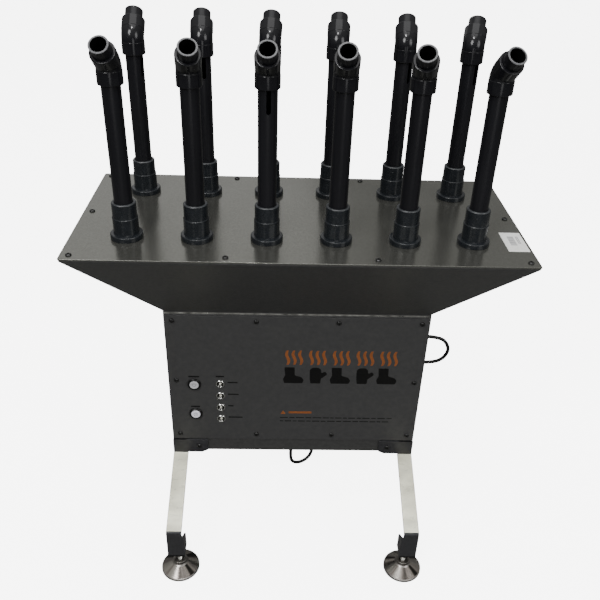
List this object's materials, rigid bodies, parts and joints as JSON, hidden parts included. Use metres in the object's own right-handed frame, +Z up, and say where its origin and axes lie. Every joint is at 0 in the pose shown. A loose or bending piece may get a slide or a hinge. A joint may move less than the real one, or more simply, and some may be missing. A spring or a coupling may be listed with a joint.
{
  "type": "boot dryer",
  "caption": "Free-standing boot and glove dryer: upright pipes with swivelling outlet elbows on a tapered plenum over a fan and heater box, on splayed legs with levelling feet.",
  "frame": {"origin": "on the floor, under the middle of the top plate", "axes": "+X to the right seen from the front, +Y to the back, +Z up; the controls face -Y"},
  "size_m": [0.856, 0.5385, 1.1423],
  "materials": {
    "plate_paint": "grey hammered metallic powder coat, semi-gloss",
    "case_paint": "dark grey powder coat, satin",
    "cover_paint": "dark grey powder coat, satin",
    "leg_paint": "dark grey metallic powder coat, glossy",
    "adapter_plastic": "dark blue-grey moulded pipe fitting",
    "nut_plastic": "dark moulded nut",
    "pipe_plastic": "glossy near-black plastic pipe",
    "elbow_plastic": "glossy near-black moulded fitting",
    "stub_plastic": "near-black plastic pipe with a cut end",
    "screw_black": "black oxide",
    "foot_steel": "turned and polished stainless steel",
    "stud_steel": "bright zinc-plated steel",
    "nut_steel": "bright zinc-plated steel",
    "button_white": "translucent white button",
    "bezel_black": "black moulded bezel",
    "lamp_chrome": "bright dished bezel",
    "lamp_clear": "clear lamp",
    "fan_steel": "plain sheet",
    "wheel_metal": "plain sheet",
    "motor_steel": "dark enamel",
    "heater_steel": "heat-tinted steel",
    "board_green": "circuit board lacquer",
    "cord_rubber": "black rubber cord sheath",
    "plug_rubber": "moulded black plug",
    "clip_plastic": "black nylon"
  },
  "bodies": {
    "stand": {"top_plate": "plate_paint", "plenum_hopper": "case_paint", "blower_box": "case_paint", "front_cover": "cover_paint", "port_adapters": "adapter_plastic", "port_locknuts": "nut_plastic", "drying_pipes": "pipe_plastic", "leg_front_left": "leg_paint", "leg_front_right": "leg_paint", "leg_rear_left": "leg_paint", "leg_rear_right": "leg_paint", "foot_jam_nuts": "nut_steel", "button_head_screws": "screw_black", "button_bezels": "bezel_black", "indicator_bezels": "lamp_chrome", "indicator_lamps": "lamp_clear", "blower_housing": "fan_steel", "blower_motor": "motor_steel", "heater_element": "heater_steel", "control_board": "board_green", "strain_relief": "clip_plastic", "power_cord": "cord_rubber", "cord_coil": "cord_rubber", "power_plug": "plug_rubber", "cord_clips": "clip_plastic"},
    "outlet_01": {"elbow_01": "elbow_plastic", "nozzle_01": "stub_plastic"},
    "outlet_02": {"elbow_02": "elbow_plastic", "nozzle_02": "stub_plastic"},
    "outlet_03": {"elbow_03": "elbow_plastic", "nozzle_03": "stub_plastic"},
    "outlet_04": {"elbow_04": "elbow_plastic", "nozzle_04": "stub_plastic"},
    "outlet_05": {"elbow_05": "elbow_plastic", "nozzle_05": "stub_plastic"},
    "outlet_06": {"elbow_06": "elbow_plastic", "nozzle_06": "stub_plastic"},
    "outlet_07": {"elbow_07": "elbow_plastic", "nozzle_07": "stub_plastic"},
    "outlet_08": {"elbow_08": "elbow_plastic", "nozzle_08": "stub_plastic"},
    "outlet_09": {"elbow_09": "elbow_plastic", "nozzle_09": "stub_plastic"},
    "outlet_10": {"elbow_10": "elbow_plastic", "nozzle_10": "stub_plastic"},
    "outlet_11": {"elbow_11": "elbow_plastic", "nozzle_11": "stub_plastic"},
    "outlet_12": {"elbow_12": "elbow_plastic", "nozzle_12": "stub_plastic"},
    "power_button": {"power_button": "button_white"},
    "timer_button": {"timer_button": "button_white"},
    "fan_wheel": {"impeller": "wheel_metal"},
    "foot_front_left": {"foot_pad_front_left": "foot_steel", "foot_stud_front_left": "stud_steel"},
    "foot_front_right": {"foot_pad_front_right": "foot_steel", "foot_stud_front_right": "stud_steel"},
    "foot_rear_left": {"foot_pad_rear_left": "foot_steel", "foot_stud_rear_left": "stud_steel"},
    "foot_rear_right": {"foot_pad_rear_right": "foot_steel", "foot_stud_rear_right": "stud_steel"}
  },
  "joints": [
    {"name": "outlet_01_swivel", "type": "hinge", "parent": "stand", "child": "outlet_01", "pos_m": [-0.3225, -0.107, 1.06], "axis": [0, 0, 1], "continuous": true},
    {"name": "outlet_02_swivel", "type": "hinge", "parent": "stand", "child": "outlet_02", "pos_m": [-0.1935, -0.107, 1.06], "axis": [0, 0, 1], "continuous": true},
    {"name": "outlet_03_swivel", "type": "hinge", "parent": "stand", "child": "outlet_03", "pos_m": [-0.0645, -0.107, 1.06], "axis": [0, 0, 1], "continuous": true},
    {"name": "outlet_04_swivel", "type": "hinge", "parent": "stand", "child": "outlet_04", "pos_m": [0.0645, -0.107, 1.06], "axis": [0, 0, 1], "continuous": true},
    {"name": "outlet_05_swivel", "type": "hinge", "parent": "stand", "child": "outlet_05", "pos_m": [0.1935, -0.107, 1.06], "axis": [0, 0, 1], "continuous": true},
    {"name": "outlet_06_swivel", "type": "hinge", "parent": "stand", "child": "outlet_06", "pos_m": [0.3225, -0.107, 1.06], "axis": [0, 0, 1], "continuous": true},
    {"name": "outlet_07_swivel", "type": "hinge", "parent": "stand", "child": "outlet_07", "pos_m": [-0.3225, 0.107, 1.06], "axis": [0, 0, 1], "continuous": true},
    {"name": "outlet_08_swivel", "type": "hinge", "parent": "stand", "child": "outlet_08", "pos_m": [-0.1935, 0.107, 1.06], "axis": [0, 0, 1], "continuous": true},
    {"name": "outlet_09_swivel", "type": "hinge", "parent": "stand", "child": "outlet_09", "pos_m": [-0.0645, 0.107, 1.06], "axis": [0, 0, 1], "continuous": true},
    {"name": "outlet_10_swivel", "type": "hinge", "parent": "stand", "child": "outlet_10", "pos_m": [0.0645, 0.107, 1.06], "axis": [0, 0, 1], "continuous": true},
    {"name": "outlet_11_swivel", "type": "hinge", "parent": "stand", "child": "outlet_11", "pos_m": [0.1935, 0.107, 1.06], "axis": [0, 0, 1], "continuous": true},
    {"name": "outlet_12_swivel", "type": "hinge", "parent": "stand", "child": "outlet_12", "pos_m": [0.3225, 0.107, 1.06], "axis": [0, 0, 1], "continuous": true},
    {"name": "power_button_press", "type": "slide", "parent": "stand", "child": "power_button", "axis": [0, 1, 0], "range_m": [0, 0.0025], "stiffness_N_per_m": 400, "springref_m": -0.002},
    {"name": "timer_button_press", "type": "slide", "parent": "stand", "child": "timer_button", "axis": [0, 1, 0], "range_m": [0, 0.0025], "stiffness_N_per_m": 400, "springref_m": -0.002},
    {"name": "fan_spin", "type": "hinge", "parent": "stand", "child": "fan_wheel", "pos_m": [0.07, 0, 0.395], "axis": [0, 1, 0], "continuous": true},
    {"name": "foot_front_left_height", "type": "slide", "parent": "stand", "child": "foot_front_left", "axis": [0, 0, -1], "range_m": [0, 0.025]},
    {"name": "foot_front_right_height", "type": "slide", "parent": "stand", "child": "foot_front_right", "axis": [0, 0, -1], "range_m": [0, 0.025]},
    {"name": "foot_rear_left_height", "type": "slide", "parent": "stand", "child": "foot_rear_left", "axis": [0, 0, -1], "range_m": [0, 0.025]},
    {"name": "foot_rear_right_height", "type": "slide", "parent": "stand", "child": "foot_rear_right", "axis": [0, 0, -1], "range_m": [0, 0.025]}
  ]
}
